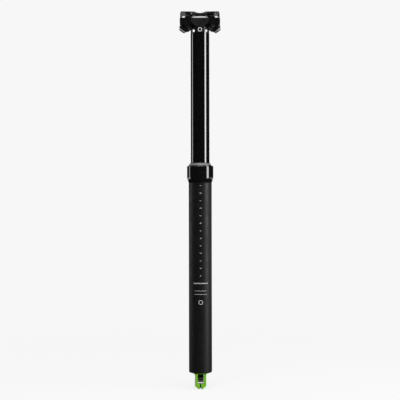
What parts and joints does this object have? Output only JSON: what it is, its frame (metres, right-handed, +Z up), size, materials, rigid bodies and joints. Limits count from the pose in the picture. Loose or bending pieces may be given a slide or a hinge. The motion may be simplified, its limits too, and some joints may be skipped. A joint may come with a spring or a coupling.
{
  "type": "dropper seatpost",
  "caption": "Telescoping bicycle seatpost with a gas cartridge, a tilting rail clamp on top and a cable-pulled valve lever at its foot.",
  "frame": {"origin": "on the post's axis at the lower edge of the collar, where the outer tube enters the frame's seat tube", "axes": "+Z up the post towards the saddle; X across the bicycle; -Y is the face with the depth scale, seen in the picture"},
  "size_m": [0.0574, 0.0352, 0.5061],
  "materials": {
    "matt_black": "matt anodised",
    "gloss_black": "gloss anodised",
    "forged_black": "satin anodised",
    "green": "bright anodised",
    "alloy": "turned",
    "steel": "satin",
    "brass": "machined",
    "rubber": "matt",
    "polymer": "matt"
  },
  "bodies": {
    "lower": {"outer_tube": "matt_black", "collar": "gloss_black", "wiper_seal": "rubber", "foam_ring": "polymer", "upper_bushing": "polymer", "bushing_clip": "steel", "base_plug": "matt_black", "base_ring": "rubber", "cartridge_rod": "steel", "rod_nut": "steel", "main_piston": "alloy", "piston_seal": "rubber", "cable_yoke": "green", "yoke_screws": "steel", "lever_pin": "steel"},
    "upper": {"stanchion": "gloss_black", "post_head": "forged_black", "lower_bushing": "polymer", "guide_keys": "brass", "cartridge_cylinder": "alloy", "cartridge_gland": "alloy", "rod_seal": "rubber", "topout_bumper": "rubber", "cylinder_cap": "alloy", "top_pad": "rubber", "cartridge_nut": "alloy"},
    "saddle_clamp": {"upper_clamp": "forged_black", "left_cradle": "forged_black", "right_cradle": "forged_black", "clamp_bolts": "steel", "clamp_washers": "steel", "thread_bushes": "steel"},
    "lever": {"actuator_lever": "forged_black"},
    "barrel": {"cable_barrel": "steel", "cable_grub_screw": "steel"},
    "valve": {"valve_pin": "steel"},
    "gas_piston": {"floating_piston": "alloy", "floating_seal": "rubber"}
  },
  "joints": [
    {"name": "post_drop", "type": "slide", "parent": "lower", "child": "upper", "axis": [0, 0, -1], "range_m": [0, 0.17], "stiffness_N_per_m": 588, "springref_m": -0.255},
    {"name": "saddle_tilt", "type": "hinge", "parent": "upper", "child": "saddle_clamp", "pos_m": [0, 0, 0.2109], "axis": [1, 0, 0], "range_deg": [-10, 10]},
    {"name": "lever_pull", "type": "hinge", "parent": "lower", "child": "lever", "pos_m": [0, -0.004, -0.2602], "axis": [1, 0, 0], "range_deg": [-0.5, 20.5]},
    {"name": "barrel_swivel", "type": "hinge", "parent": "lever", "child": "barrel", "pos_m": [0, -0.0095, -0.2627], "axis": [1, 0, 0], "range_deg": [-20.5, 0.5]},
    {"name": "valve_push", "type": "slide", "parent": "lower", "child": "valve", "axis": [0, 0, 1], "range_m": [0, 0.0019], "stiffness_N_per_m": 2000, "springref_m": -0.005},
    {"name": "gas_compress", "type": "slide", "parent": "upper", "child": "gas_piston", "axis": [0, 0, 1], "range_m": [0, 0.038]}
  ],
  "couplings": [
    {"joint": "barrel_swivel", "follows": "valve_push", "rad_per_m": -181.82},
    {"joint": "lever_pull", "follows": "valve_push", "rad_per_m": 181.82},
    {"joint": "gas_compress", "follows": "post_drop", "ratio": 0.22145}
  ]
}
